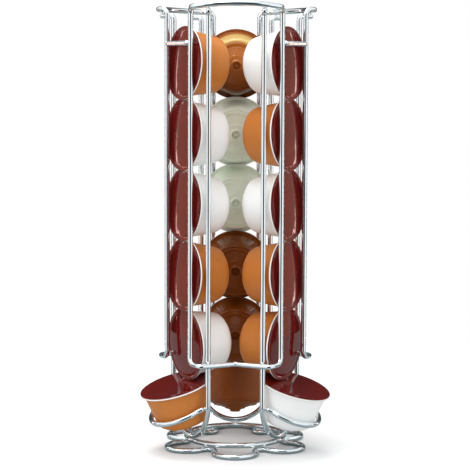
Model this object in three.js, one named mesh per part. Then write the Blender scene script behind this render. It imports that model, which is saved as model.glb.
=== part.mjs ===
// Coffee capsule dispenser: a chromed wire tower that holds three columns of coffee capsules.
//
// The tower stands on a flat rosette bent from one wire. A ring lies on the rosette. Three hairpins
// stand on the ring, one behind each column, and three window-shaped panel loops stand between the
// columns. Together they form three upright channels. In each channel five capsules lie stacked with
// their foil lids facing out, and a sixth sits tipped forward in a cradle below them, ready to take.
//
// Units are millimetres, +Z is up. The tower's axis is first modelled at x = y = 0 and the viewer's
// side is -Y. Every column and every panel is modelled facing -Y and then turned about the axis.

import * as THREE from 'three';

// The wire.
const WIRE_DIAMETER = 4;
const WIRE_SIDES = 8;
const WELD_GAP = 0.4;

// A capsule: a tapering cup with a flange, a stepped floor and a nozzle, closed by a foil lid. Each
// size is counted from the one before it, from the wall at the flange inwards and down. A lid domes
// a little, and the lid that carries the stack is dented instead, inside a flat band.
const SHOULDER_RADIUS = 24.7;
const FLANGE_WIDTH = 2.4;
const FLANGE_THICKNESS = 1.1;
const CUP_DEPTH = 28;
const WALL_TAPER = 3.3;
const FOOT_ROUND = 6.5;
const STEP_SETBACK = 4.3;
const STEP_DEPTH = 1.4;
const STEP_WIDTH = 2.8;
const CONE_HEIGHT = 3.4;
const NOZZLE_RADIUS = 4.6;
const NOZZLE_LENGTH = 2;
const CUP_WALL = 1;
const LID_THICKNESS = 0.35;
const LID_DOME = 1;
const LID_MIDWAY_SHARE = 0.5;
const LID_GAP = 0.25;
const LID_DENT = 0.7;
const LID_BAND = 4.4;
const CAPSULE_SIDES = 16;

// A column, counted outwards from the tower's axis: the feet of the stacked capsules, and from there
// their flanges. The hairpin stands behind the flanges, and the uprights of the panels beside the
// column stand in front of them and hold them in.
const FOOT_RADIAL = 16.6;
const SHOULDER_CLEARANCE = 0.3;
const FLANGE_ADVANCE = 5.9;
const LID_CLEARANCE = 0.45;
const UPRIGHT_OVERLAP = 9.03;

// The base: a ring under the hairpins, on a six-lobed rosette on the table. The lobes' size follows
// from where their centres are and how far the cusps between them reach out.
const RING_SETBACK = 1.7;
const LOBE_COUNT = 6;
const LOBE_ADVANCE = 4;
const CUSP_REACH = 5.4;
const CUSP_RADIUS = 5.6;

// The served capsule, tipped forward in its cradle, and the room between its nozzle and the ring.
const SERVED_ADVANCE = 6.8;
const NOZZLE_CLEARANCE = 6.4;
const SERVED_TIP_DEGREES = 73;
const CRADLE_DEPTH = 17;
const CRADLE_LEAN_DEGREES = 27;

// The stack of capsules in a column. The lowest stands on the served one's lid and leans inwards.
const SEAT_GAP = 0.3;
const STACK_TIP_DEGREES = 2.9;
const LOWEST_SETBACK = 2.1;
const LOWEST_TIP_DEGREES = -2;

// A panel loop: its top lies above the highest capsule, and its bottom rail above the served one.
const TOP_ABOVE_STACK = 40;
const RAIL_ABOVE_SERVED = 18.2;

// The bow at the top of a panel loop stands outwards from its uprights. It arches up a little, more
// on the front panel than on the rear ones.
const BOW_ADVANCE = 9.44;
const BOW_INSET = 1.74;
const BOW_DEPTH = 5;
const FRONT_BOW_RISE = 2.4;
const REAR_BOW_RISE = 0.4;
const TOP_BEND = 5;
const BOW_BEND = 5.5;

// The bottom rail's inward kink, which runs past the hairpins' legs.
const RAIL_INSET = 7.24;
const RAIL_KINK_DEGREES = 28.64;
const RAIL_BEND = 6;
const KINK_BEND = 4;

// The strap that ties two panel loops across a column, below their tops. It stands out from the
// middle of their uprights, so that a lid passes behind it.
const STRAP_DROP = 25.8;
const STRAP_SETOUT = 0.8;

// How finely the bends are faceted.
const BEND_STEPS = 3;
const LOBE_STEPS = 9;
const CUSP_STEPS = 5;
const RING_STEPS = 32;
const HAIRPIN_STEPS = 12;
const CRADLE_STEPS = 11;
const BOW_STEPS = 6;

// Where the columns and the panels stand, in degrees from the front towards +X. A column lists the
// colours of its cups from the lowest up, and the rise of the bow on each side of it.
const COLUMNS = [
  {
    name: 'left',
    degrees: -60,
    cups: ['white', 'orange', 'white', 'white', 'orange'],
    served: 'orange',
    bowRises: [REAR_BOW_RISE, FRONT_BOW_RISE],
  },
  {
    name: 'right',
    degrees: 60,
    cups: ['orange', 'orange', 'white', 'orange', 'white'],
    served: 'white',
    bowRises: [FRONT_BOW_RISE, REAR_BOW_RISE],
  },
  {
    name: 'rear',
    degrees: 180,
    cups: ['brown', 'brown', 'cream', 'cream', 'caramel'],
    served: 'brown',
    bowRises: [REAR_BOW_RISE, REAR_BOW_RISE],
  },
];
const PANELS = [
  { name: 'front', degrees: 0, bowRise: FRONT_BOW_RISE },
  { name: 'right_rear', degrees: 120, bowRise: REAR_BOW_RISE },
  { name: 'left_rear', degrees: -120, bowRise: REAR_BOW_RISE },
];
const HALF_PITCH = Math.PI / COLUMNS.length;
const STACK_COUNT = COLUMNS[0].cups.length;

// The wire's flat facets lie at its true radius, so its corners stand a little proud. Wires that lie
// on one another touch with their facets, and wires that cross askew may meet with their corners.
const WIRE_RADIUS = WIRE_DIAMETER / 2;
const WIRE_CORNER_RADIUS = WIRE_RADIUS / Math.cos(Math.PI / WIRE_SIDES);
const WELD_PITCH = WIRE_DIAMETER + WELD_GAP;
const CROSSING_PITCH = 2 * WIRE_CORNER_RADIUS + WELD_GAP;

// The capsule's own sizes.
const RIM_RADIUS = SHOULDER_RADIUS + FLANGE_WIDTH;
const FOOT_RADIUS = SHOULDER_RADIUS - WALL_TAPER;
const FOOT_START = CUP_DEPTH - FOOT_ROUND;
const STEP_RADIUS = FOOT_RADIUS - STEP_SETBACK;
const CONE_RADIUS = STEP_RADIUS - STEP_WIDTH;
const STEP_FLOOR = CUP_DEPTH + STEP_DEPTH;
const CONE_DEPTH = STEP_FLOOR + CONE_HEIGHT;
const NOZZLE_DEPTH = CONE_DEPTH + NOZZLE_LENGTH;
const LID_LEVEL = LID_GAP + LID_THICKNESS;
const LID_SPAN = RIM_RADIUS - LID_BAND;

// Where a column's wires stand. The hairpin's legs pass a capsule's shoulder on both sides, and the
// uprights stand just in front of its lid.
const HAIRPIN_HALF_WIDTH = SHOULDER_RADIUS + SHOULDER_CLEARANCE + WIRE_RADIUS;
const STACK_RADIAL = FOOT_RADIAL + CUP_DEPTH;
const HAIRPIN_RADIAL = STACK_RADIAL - FLANGE_ADVANCE;
const UPRIGHT_RADIAL = STACK_RADIAL + LID_LEVEL + LID_DOME + LID_CLEARANCE + WIRE_CORNER_RADIUS;
const UPRIGHT_ASIDE = RIM_RADIUS - UPRIGHT_OVERLAP;

// The same uprights and legs, as seen from the panel between two columns.
const PANEL_RADIAL = UPRIGHT_RADIAL * Math.cos(HALF_PITCH) + UPRIGHT_ASIDE * Math.sin(HALF_PITCH);
const PANEL_HALF_WIDTH = UPRIGHT_RADIAL * Math.sin(HALF_PITCH) - UPRIGHT_ASIDE * Math.cos(HALF_PITCH);
const LEG_RADIAL = HAIRPIN_RADIAL * Math.cos(HALF_PITCH) + HAIRPIN_HALF_WIDTH * Math.sin(HALF_PITCH);
const LEG_ASIDE = HAIRPIN_RADIAL * Math.sin(HALF_PITCH) - HAIRPIN_HALF_WIDTH * Math.cos(HALF_PITCH);

// The base's radii.
const RING_RADIUS = HAIRPIN_RADIAL - RING_SETBACK;
const LOBE_CENTRE_RADIAL = RING_RADIUS + LOBE_ADVANCE;

// Heights, from the table up: the ring, the served capsule, the stack on its lid, and the panels.
const SERVED_TIP = THREE.MathUtils.degToRad(SERVED_TIP_DEGREES);
const RING_HEIGHT = WIRE_RADIUS + WELD_PITCH;
const NOZZLE_DROP = NOZZLE_DEPTH * Math.sin(SERVED_TIP) + NOZZLE_RADIUS * Math.cos(SERVED_TIP);
const SERVED_HEIGHT = RING_HEIGHT + WIRE_CORNER_RADIUS + NOZZLE_CLEARANCE + NOZZLE_DROP;
const SERVED_RADIAL = STACK_RADIAL + SERVED_ADVANCE;

// The lowest of the stack stands on the dented lid with the back edge of its flange.
const LOWEST_TIP = THREE.MathUtils.degToRad(LOWEST_TIP_DEGREES);
const LOWEST_RADIAL = STACK_RADIAL - LOWEST_SETBACK;
const LOWEST_HEEL = RIM_RADIUS * Math.sin(LOWEST_TIP) - FLANGE_THICKNESS * Math.cos(LOWEST_TIP);
const SEAT_INWARDS = SERVED_RADIAL - LOWEST_RADIAL - LOWEST_HEEL;
const SEAT_SHARE = SEAT_INWARDS / Math.sin(SERVED_TIP) / LID_SPAN;
const SEAT_LEVEL = LID_LEVEL - LID_DENT * (1 - SEAT_SHARE ** 2);
const SEAT_CLIMB = SEAT_INWARDS / Math.tan(SERVED_TIP) + SEAT_LEVEL / Math.sin(SERVED_TIP);
const LOWEST_HEIGHT = SERVED_HEIGHT + SEAT_CLIMB + SEAT_GAP + RIM_RADIUS * Math.cos(LOWEST_TIP);
const STACK_PITCH = RIM_RADIUS + SHOULDER_RADIUS + SEAT_GAP;
const PANEL_TOP_HEIGHT = LOWEST_HEIGHT + (STACK_COUNT - 1) * STACK_PITCH + TOP_ABOVE_STACK;
const RAIL_HEIGHT = SERVED_HEIGHT + RAIL_ABOVE_SERVED;

// The bow is a parabola outwards and upwards, by the share of its half width.
const BOW_END_RADIAL = PANEL_RADIAL + BOW_ADVANCE;
const BOW_END_HALF_WIDTH = PANEL_HALF_WIDTH - BOW_INSET;

const materials = {
  chrome: new THREE.MeshStandardMaterial({ color: 0xc9cdd2, roughness: 0.12, metalness: 1 }),
  foil: new THREE.MeshStandardMaterial({ color: 0x7a1712, roughness: 0.3, metalness: 0.2 }),
  white: new THREE.MeshStandardMaterial({ color: 0xf3f2ef, roughness: 0.4, metalness: 0 }),
  cream: new THREE.MeshStandardMaterial({ color: 0xe9e6d6, roughness: 0.4, metalness: 0 }),
  orange: new THREE.MeshStandardMaterial({ color: 0xc87834, roughness: 0.4, metalness: 0 }),
  caramel: new THREE.MeshStandardMaterial({ color: 0xa8682c, roughness: 0.4, metalness: 0 }),
  brown: new THREE.MeshStandardMaterial({ color: 0x6e3a18, roughness: 0.4, metalness: 0 }),
};

// A wire's centre line: straight runs between its points, with one ring of the wire at each point.
class WirePath extends THREE.Curve {
  constructor(points, closed) {
    super();
    this.points = points;
    this.closed = closed;
    this.spans = closed ? points.length : points.length - 1;
  }

  pointAt(index) {
    const count = this.points.length;
    if (this.closed) {
      return this.points[(index + count) % count];
    }
    return this.points[THREE.MathUtils.clamp(index, 0, count - 1)];
  }

  getUtoTmapping(u) {
    return u;
  }

  getPoint(t, target = new THREE.Vector3()) {
    const place = t * this.spans;
    const index = Math.floor(place);
    return target.lerpVectors(this.pointAt(index), this.pointAt(index + 1), place - index);
  }

  getTangent(t, target = new THREE.Vector3()) {
    const index = Math.round(t * this.spans);
    const arriving = this.pointAt(index).clone().sub(this.pointAt(index - 1)).normalize();
    const leaving = this.pointAt(index + 1).clone().sub(this.pointAt(index)).normalize();
    return target.addVectors(arriving, leaving).normalize();
  }

  // The section is turned by half a facet, so a wire that lies flat rests on a facet.
  computeFrenetFrames(segments, closed) {
    const frames = super.computeFrenetFrames(segments, closed);
    frames.tangents.forEach((tangent, index) => {
      frames.normals[index].applyAxisAngle(tangent, Math.PI / WIRE_SIDES);
      frames.binormals[index].applyAxisAngle(tangent, Math.PI / WIRE_SIDES);
    });
    return frames;
  }
}

function wireGeometry(points, closed) {
  const path = new WirePath(points, closed);
  if (closed) {
    return new THREE.TubeGeometry(path, path.spans, WIRE_CORNER_RADIUS, WIRE_SIDES, true);
  }
  const section = new THREE.Shape();
  for (let side = 0; side < WIRE_SIDES; side += 1) {
    const angle = (side / WIRE_SIDES) * 2 * Math.PI;
    const x = WIRE_CORNER_RADIUS * Math.cos(angle);
    const y = WIRE_CORNER_RADIUS * Math.sin(angle);
    if (side === 0) {
      section.moveTo(x, y);
    } else {
      section.lineTo(x, y);
    }
  }
  section.closePath();
  return new THREE.ExtrudeGeometry(section, { steps: path.spans, extrudePath: path });
}

// Points on an arc: centre + radius (cos angle * across + sin angle * along), both ends included.
function arc(centre, across, along, radius, startAngle, endAngle, steps) {
  const points = [];
  for (let step = 0; step <= steps; step += 1) {
    const angle = THREE.MathUtils.lerp(startAngle, endAngle, step / steps);
    const point = centre.clone();
    point.addScaledVector(across, radius * Math.cos(angle));
    point.addScaledVector(along, radius * Math.sin(angle));
    points.push(point);
  }
  return points;
}

// The arc that rounds a corner between two straight runs.
function roundedCorner(before, corner, after, radius, steps) {
  const arriving = corner.clone().sub(before).normalize();
  const leaving = after.clone().sub(corner).normalize();
  const turn = arriving.angleTo(leaving);
  const start = corner.clone().addScaledVector(arriving, -radius * Math.tan(turn / 2));
  const inward = leaving.clone().addScaledVector(arriving, -leaving.dot(arriving)).normalize();
  const centre = start.clone().addScaledVector(inward, radius);
  return arc(centre, inward.clone().negate(), arriving, radius, 0, turn, steps);
}

// A bent wire from its corners. A corner with a bend radius is rounded, and others are kept as points.
function bentWire(corners, closed) {
  const points = [];
  corners.forEach((corner, index) => {
    if (!corner.bend) {
      points.push(corner.at);
      return;
    }
    const before = corners[(index - 1 + corners.length) % corners.length].at;
    const after = corners[(index + 1) % corners.length].at;
    points.push(...roundedCorner(before, corner.at, after, corner.bend, BEND_STEPS));
  });
  return wireGeometry(points, closed);
}

function namedMesh(name, geometry, material) {
  const mesh = new THREE.Mesh(geometry, material);
  mesh.name = name;
  return mesh;
}

// A point of a piece that faces -Y: how far it stands out from the axis, sideways and up.
function place(radial, sideways, height) {
  return new THREE.Vector3(sideways, -radial, height);
}

// The direction that leans from straight out towards +X by an angle.
function outward(angle) {
  return new THREE.Vector3(Math.sin(angle), -Math.cos(angle), 0);
}

// The rosette: round lobes joined by tight cusps that turn the other way, bent from one closed wire.
function baseRosette() {
  const halfPitch = Math.PI / LOBE_COUNT;
  const lobeAlong = LOBE_CENTRE_RADIAL * Math.cos(halfPitch);
  const lobeAside = LOBE_CENTRE_RADIAL * Math.sin(halfPitch);
  const lobeRadius = Math.hypot(lobeAside, CUSP_REACH) - CUSP_RADIUS;
  const cuspRadial = lobeAlong + CUSP_REACH;
  const cuspAlong = cuspRadial * Math.cos(halfPitch) - LOBE_CENTRE_RADIAL;
  const cuspAside = cuspRadial * Math.sin(halfPitch);
  const lobeSpan = Math.atan2(cuspAside, cuspAlong);
  const cuspSpan = lobeSpan - halfPitch;
  const points = [];
  for (let lobe = 0; lobe < LOBE_COUNT; lobe += 1) {
    const angle = 2 * lobe * halfPitch;
    const out = outward(angle);
    const side = outward(angle + Math.PI / 2);
    const centre = out.clone().multiplyScalar(LOBE_CENTRE_RADIAL).setZ(WIRE_RADIUS);
    points.push(...arc(centre, out, side, lobeRadius, -lobeSpan, lobeSpan, LOBE_STEPS).slice(0, -1));
    const inward = outward(angle + halfPitch + Math.PI);
    const back = outward(angle + halfPitch - Math.PI / 2);
    const cusp = inward.clone().multiplyScalar(-cuspRadial).setZ(WIRE_RADIUS);
    points.push(...arc(cusp, inward, back, CUSP_RADIUS, cuspSpan, -cuspSpan, CUSP_STEPS).slice(0, -1));
  }
  return namedMesh('base_rosette', wireGeometry(points, true), materials.chrome);
}

function baseRing() {
  const centre = new THREE.Vector3(0, 0, RING_HEIGHT);
  const ring = arc(centre, outward(0), outward(Math.PI / 2), RING_RADIUS, 0, 2 * Math.PI, RING_STEPS);
  return namedMesh('base_ring', wireGeometry(ring.slice(0, -1), true), materials.chrome);
}

// A point of the bow, by its share of the half width: -1 and 1 are its ends.
function bowPoint(share, rise) {
  const fullness = 1 - share * share;
  const radial = BOW_END_RADIAL + BOW_DEPTH * fullness;
  return place(radial, share * BOW_END_HALF_WIDTH, PANEL_TOP_HEIGHT + rise * fullness);
}

// A panel loop: two uprights, a bowed top and a kinked bottom rail, bent from one closed wire. The
// rail runs past a hairpin's leg on each side of its kink.
function panelLoop(name, bowRise) {
  const kink = THREE.MathUtils.degToRad(RAIL_KINK_DEGREES);
  const railEndAside = PANEL_HALF_WIDTH - RAIL_INSET;
  const kinkRadial = LEG_RADIAL + CROSSING_PITCH / Math.cos(kink) - LEG_ASIDE * Math.tan(kink);
  const railEndRadial = kinkRadial + railEndAside * Math.tan(kink);
  const upright = (side, height) => place(PANEL_RADIAL, side * PANEL_HALF_WIDTH, height);
  const railEnd = (side) => place(railEndRadial, side * railEndAside, RAIL_HEIGHT);
  const bow = [];
  for (let step = 1; step < BOW_STEPS; step += 1) {
    bow.push({ at: bowPoint(THREE.MathUtils.lerp(-1, 1, step / BOW_STEPS), bowRise) });
  }
  const corners = [
    { at: upright(-1, RAIL_HEIGHT), bend: RAIL_BEND },
    { at: upright(-1, PANEL_TOP_HEIGHT), bend: TOP_BEND },
    { at: bowPoint(-1, bowRise), bend: BOW_BEND },
    ...bow,
    { at: bowPoint(1, bowRise), bend: BOW_BEND },
    { at: upright(1, PANEL_TOP_HEIGHT), bend: TOP_BEND },
    { at: upright(1, RAIL_HEIGHT), bend: RAIL_BEND },
    { at: railEnd(1), bend: KINK_BEND },
    { at: place(kinkRadial, 0, RAIL_HEIGHT), bend: KINK_BEND },
    { at: railEnd(-1), bend: KINK_BEND },
  ];
  return namedMesh(`${name}_panel_loop`, bentWire(corners, true), materials.chrome);
}

// One leg's end, on the side -1 or 1: its top bend, and its tip under the bow of the panel beside it.
function legEnd(side, bowRise) {
  const carried = bowPoint(LEG_ASIDE / BOW_END_HALF_WIDTH, bowRise);
  const reach = -carried.y + WIRE_RADIUS - LEG_RADIAL;
  const top = place(HAIRPIN_RADIAL, side * HAIRPIN_HALF_WIDTH, carried.z - CROSSING_PITCH);
  const tip = top.clone().addScaledVector(outward(side * HALF_PITCH), reach);
  return { top, tip };
}

// A hairpin: two legs behind a column, joined by a round bend that stands on the base ring. Each leg
// leans out at the top, square to the panel beside it, and its tip carries the panel's bow.
function hairpin(name, bowRises) {
  const lowest = RING_HEIGHT + Math.sqrt(WELD_PITCH ** 2 - RING_SETBACK ** 2);
  const bendCentre = place(HAIRPIN_RADIAL, 0, lowest + HAIRPIN_HALF_WIDTH);
  const left = new THREE.Vector3(-1, 0, 0);
  const down = new THREE.Vector3(0, 0, -1);
  const foot = arc(bendCentre, left, down, HAIRPIN_HALF_WIDTH, 0, Math.PI, HAIRPIN_STEPS);
  const first = legEnd(-1, bowRises[0]);
  const second = legEnd(1, bowRises[1]);
  const corners = [
    { at: first.tip },
    { at: first.top, bend: TOP_BEND },
    ...foot.map((point) => ({ at: point })),
    { at: second.top, bend: TOP_BEND },
    { at: second.tip },
  ];
  return namedMesh(`${name}_hairpin`, bentWire(corners, false), materials.chrome);
}

// The radius of a cup's outer wall at a depth below its rim.
function cupRadius(depth) {
  const share = (depth - FLANGE_THICKNESS) / (FOOT_START - FLANGE_THICKNESS);
  return THREE.MathUtils.lerp(SHOULDER_RADIUS, FOOT_RADIUS, share);
}

// A cradle: a half ring round the served capsule's cup, with two short arms to the hairpin's legs.
function cradle(name) {
  const lean = THREE.MathUtils.degToRad(CRADLE_LEAN_DEGREES);
  const down = new THREE.Vector3(0, Math.cos(SERVED_TIP), -Math.sin(SERVED_TIP));
  const forward = new THREE.Vector3(0, -Math.cos(lean), -Math.sin(lean));
  const side = new THREE.Vector3(1, 0, 0);
  const centre = place(SERVED_RADIAL, 0, SERVED_HEIGHT).addScaledVector(down, CRADLE_DEPTH);
  const radius = cupRadius(CRADLE_DEPTH) + WIRE_CORNER_RADIUS + SEAT_GAP;
  const legFront = HAIRPIN_RADIAL + WIRE_CORNER_RADIUS * (1 + Math.sin(lean)) + WELD_GAP;
  const back = (-legFront - centre.y) / forward.y;
  const armBack = centre.clone().addScaledVector(forward, back);
  const armEnd = (sign) => armBack.clone().addScaledVector(side, sign * HAIRPIN_HALF_WIDTH);
  const half = arc(centre, side.clone().negate(), forward, radius, 0, Math.PI, CRADLE_STEPS);
  const points = [armEnd(-1), ...half, armEnd(1)];
  return namedMesh(`${name}_cradle`, wireGeometry(points, false), materials.chrome);
}

// A strap: a short straight wire between the uprights of the two panels beside a column.
function topStrap(name) {
  const radial = UPRIGHT_RADIAL + STRAP_SETOUT;
  const height = PANEL_TOP_HEIGHT - STRAP_DROP;
  const end = UPRIGHT_ASIDE - WIRE_CORNER_RADIUS - WELD_GAP;
  const points = [place(radial, -end, height), place(radial, end, height)];
  return namedMesh(`${name}_top_strap`, wireGeometry(points, false), materials.chrome);
}

// A cup, turned about +Y with its rim at y = 0 and its nozzle pointing to -Y.
function cupGeometry() {
  const footBow = FOOT_ROUND * Math.SQRT1_2;
  const outer = [
    [0, -NOZZLE_DEPTH],
    [NOZZLE_RADIUS, -NOZZLE_DEPTH],
    [NOZZLE_RADIUS, -CONE_DEPTH],
    [CONE_RADIUS, -STEP_FLOOR],
    [STEP_RADIUS, -STEP_FLOOR],
    [STEP_RADIUS, -CUP_DEPTH],
    [FOOT_RADIUS - FOOT_ROUND + footBow, -FOOT_START - footBow],
    [FOOT_RADIUS, -FOOT_START],
    [SHOULDER_RADIUS, -FLANGE_THICKNESS],
    [RIM_RADIUS, -FLANGE_THICKNESS],
    [RIM_RADIUS, 0],
  ];
  const inner = [
    [SHOULDER_RADIUS - CUP_WALL, 0],
    [FOOT_RADIUS - CUP_WALL, -FOOT_START],
    [STEP_RADIUS, CUP_WALL - CUP_DEPTH],
    [0, CUP_WALL - CONE_DEPTH],
  ];
  const profile = [...outer, ...inner].map(([radius, height]) => new THREE.Vector2(radius, height));
  return new THREE.LatheGeometry(profile, CAPSULE_SIDES);
}

// A lid: a thin foil disc on the rim, domed a little by the pressure inside.
function lidGeometry() {
  const outline = [
    [0, LID_GAP],
    [RIM_RADIUS, LID_GAP],
    [RIM_RADIUS, LID_LEVEL],
    [RIM_RADIUS * LID_MIDWAY_SHARE, LID_LEVEL + LID_DOME * (1 - LID_MIDWAY_SHARE ** 2)],
    [0, LID_LEVEL + LID_DOME],
  ];
  const profile = outline.map(([radius, height]) => new THREE.Vector2(radius, height));
  return new THREE.LatheGeometry(profile, CAPSULE_SIDES);
}

// The lid of a served capsule, dented inside its flat band by the stack that stands on it.
function dentedLidGeometry() {
  const dent = LID_DENT * (1 - LID_MIDWAY_SHARE ** 2);
  const outline = [
    [0, LID_GAP - LID_DENT],
    [LID_SPAN * LID_MIDWAY_SHARE, LID_GAP - dent],
    [LID_SPAN, LID_GAP],
    [RIM_RADIUS, LID_GAP],
    [RIM_RADIUS, LID_LEVEL],
    [LID_SPAN, LID_LEVEL],
    [LID_SPAN * LID_MIDWAY_SHARE, LID_LEVEL - dent],
    [0, LID_LEVEL - LID_DENT],
  ];
  const profile = outline.map(([radius, height]) => new THREE.Vector2(radius, height));
  return new THREE.LatheGeometry(profile, CAPSULE_SIDES);
}

// A capsule with its rim's centre at a place in a column, and its lid looking up by the angle tip.
function capsule(name, colour, lid, radial, height, tip) {
  const group = new THREE.Group();
  group.add(namedMesh(`${name}_cup`, cupGeometry(), materials[colour]));
  group.add(namedMesh(`${name}_lid`, lid, materials.foil));
  group.position.copy(place(radial, 0, height));
  group.rotation.x = Math.PI - tip;
  return group;
}

function capsuleColumn(column) {
  const group = new THREE.Group();
  const stackTip = THREE.MathUtils.degToRad(STACK_TIP_DEGREES);
  column.cups.forEach((colour, index) => {
    const name = `${column.name}_capsule_${index + 1}`;
    const height = LOWEST_HEIGHT + index * STACK_PITCH;
    const radial = index === 0 ? LOWEST_RADIAL : STACK_RADIAL;
    const tip = index === 0 ? LOWEST_TIP : stackTip;
    group.add(capsule(name, colour, lidGeometry(), radial, height, tip));
  });
  const name = `${column.name}_served_capsule`;
  const lid = dentedLidGeometry();
  group.add(capsule(name, column.served, lid, SERVED_RADIAL, SERVED_HEIGHT, SERVED_TIP));
  return group;
}

function turned(degrees, pieces) {
  const group = new THREE.Group();
  group.rotation.z = THREE.MathUtils.degToRad(degrees);
  group.add(...pieces);
  return group;
}

function buildDispenser() {
  const tower = new THREE.Group();
  tower.add(baseRosette(), baseRing());
  PANELS.forEach((panel) => tower.add(turned(panel.degrees, [panelLoop(panel.name, panel.bowRise)])));
  COLUMNS.forEach((column) => {
    const { name, degrees, bowRises } = column;
    const wires = [hairpin(name, bowRises), cradle(name), topStrap(name)];
    tower.add(turned(degrees, [...wires, capsuleColumn(column)]));
  });
  return tower;
}

// The origin is the middle of the whole object's box, on the table.
function standOnOrigin(tower) {
  const box = new THREE.Box3().setFromObject(tower, true);
  const middle = box.getCenter(new THREE.Vector3());
  tower.position.set(-middle.x, -middle.y, -box.min.z);
  const object = new THREE.Group();
  object.add(tower);
  return object;
}

export default standOnOrigin(buildDispenser());
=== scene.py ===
# %% [markdown]
# # A wire tower for coffee capsules
# A chromed wire tower stands on a flat, scalloped wire base. Between its wires are three upright
# channels. Each holds five capsules on edge, lids facing out, and a sixth lies tipped forward in a
# cradle at the bottom, ready to be taken. This lesson makes every wire and every capsule as a
# surface worked out with numpy, gives them finishes from nodes, and lights them as in a studio.

import math

import bpy
import numpy as np
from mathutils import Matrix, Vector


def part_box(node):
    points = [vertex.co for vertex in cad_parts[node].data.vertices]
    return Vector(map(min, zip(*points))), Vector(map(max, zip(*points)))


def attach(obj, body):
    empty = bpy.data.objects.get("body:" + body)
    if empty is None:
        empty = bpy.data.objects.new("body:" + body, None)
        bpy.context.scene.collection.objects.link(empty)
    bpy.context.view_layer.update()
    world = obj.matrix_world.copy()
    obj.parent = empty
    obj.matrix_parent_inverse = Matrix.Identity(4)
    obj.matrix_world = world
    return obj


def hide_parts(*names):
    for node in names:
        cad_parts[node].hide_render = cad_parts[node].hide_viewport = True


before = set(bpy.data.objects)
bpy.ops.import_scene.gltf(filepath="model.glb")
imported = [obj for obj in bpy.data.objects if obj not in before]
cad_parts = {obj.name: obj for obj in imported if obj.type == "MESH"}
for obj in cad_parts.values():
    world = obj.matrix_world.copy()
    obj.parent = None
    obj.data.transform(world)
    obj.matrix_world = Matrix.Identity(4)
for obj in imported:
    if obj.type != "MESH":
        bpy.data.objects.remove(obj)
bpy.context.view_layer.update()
MM = 0.001
print("nodes in the frame:", len(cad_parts))

# %% [markdown]
# ## The view
# The photograph was taken with a long lens from a little above the middle of the tower, which keeps
# the uprights nearly parallel. A camera at the same distance, height and tilt gives the same
# perspective, so every size can be compared with the photograph.

# %% Camera
CAMERA_DISTANCE = 1235.1 * MM
CAMERA_HEIGHT = 276.6 * MM
CAMERA_TILT_DOWN = 0.0942
CAMERA_ROLL = -0.0037
CAMERA_YAW = 0.0008
LENS_LENGTH = 125.78
SENSOR_WIDTH = 36
FARTHEST_SEEN = 20

ring_low, ring_high = (np.array(corner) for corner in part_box("base_ring"))
TOWER_AXIS = (ring_low + ring_high) / 2 * np.array([1, 1, 0])


def add_camera():
    """A camera straight in front of the tower's axis, tilted down, with a long lens."""
    data = bpy.data.cameras.new("camera")
    data.lens = LENS_LENGTH
    data.sensor_width = SENSOR_WIDTH
    data.clip_end = FARTHEST_SEEN
    camera = bpy.data.objects.new("camera", data)
    bpy.context.scene.collection.objects.link(camera)
    camera.location = (TOWER_AXIS[0], TOWER_AXIS[1] - CAMERA_DISTANCE, CAMERA_HEIGHT)
    camera.rotation_euler = (math.pi / 2 - CAMERA_TILT_DOWN, CAMERA_ROLL, CAMERA_YAW)
    bpy.context.scene.camera = camera
    return camera


camera = add_camera()
print("tower axis at", TOWER_AXIS.round(5), "camera at", tuple(camera.location))

# %% [markdown]
# ## From a grid of points to a mesh
# Every piece here is a surface with two parameters: along a wire and round it, or along a profile
# and round its axis. So one helper is enough. It takes a grid of points, joins each point to its
# neighbours with four-sided faces, and can close the grid on itself in either direction.

# %% A surface from a grid
def grid_faces(rows, columns, closed_rows):
    """Quads between neighbouring points. Columns always close on themselves, rows only if asked."""
    last = rows if closed_rows else rows - 1
    row, column = np.meshgrid(np.arange(last), np.arange(columns), indexing="ij")
    here = row * columns
    below = (row + 1) % rows * columns
    beside = (column + 1) % columns
    quads = [here + column, here + beside, below + beside, below + column]
    return np.stack(quads, axis=-1).reshape(-1, 4)


def surface(name, grid, closed_rows=False):
    """A smooth closed mesh from a grid of points, with a flat cap on each open end."""
    rows, columns, _ = grid.shape
    faces = grid_faces(rows, columns, closed_rows).tolist()
    if not closed_rows:
        faces.append(list(range(columns))[::-1])
        faces.append(list(range((rows - 1) * columns, rows * columns)))
    mesh = bpy.data.meshes.new(name)
    mesh.from_pydata(grid.reshape(-1, 3).tolist(), [], faces)
    mesh.shade_smooth()
    piece = bpy.data.objects.new(name, mesh)
    bpy.context.scene.collection.objects.link(piece)
    return piece


def settle(piece, body, slot, material, *nodes):
    """Gives a piece its material, hangs it on the body it rides on, and hides the solids it stands for.
    """
    piece.data.materials.append(material)
    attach(piece, body)
    if nodes:
        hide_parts(*nodes)


# %% [markdown]
# ## Turning and placing
# The tower has three columns, a third of a turn apart, and a panel of wire between each two. Each
# piece is worked out once, facing the viewer, and then turned about the tower's axis.

# %% Turning about the tower's axis
COLUMNS = {"left": -60, "right": 60, "rear": 180}
PANELS = {"front": 0, "right_rear": 120, "left_rear": -120}
COLUMN_PITCH = 2 * math.pi / len(COLUMNS)


def place(radial, sideways, height):
    """A point that stands out from the axis towards the viewer, sideways and up."""
    return np.array([sideways, -radial, height], float)


def outward(angle):
    """The direction that leans from the viewer towards +X by an angle."""
    return np.array([math.sin(angle), -math.cos(angle), 0])


def turned(points, degrees):
    """Points turned about the upright axis: (x cos - y sin, x sin + y cos, z)."""
    cosine = math.cos(math.radians(degrees))
    sine = math.sin(math.radians(degrees))
    turn = np.array([[cosine, -sine, 0], [sine, cosine, 0], [0, 0, 1]])
    return points @ turn.T


def in_frame(points):
    """Points round the tower's own axis, put where the frame has that axis."""
    return points + TOWER_AXIS


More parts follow.
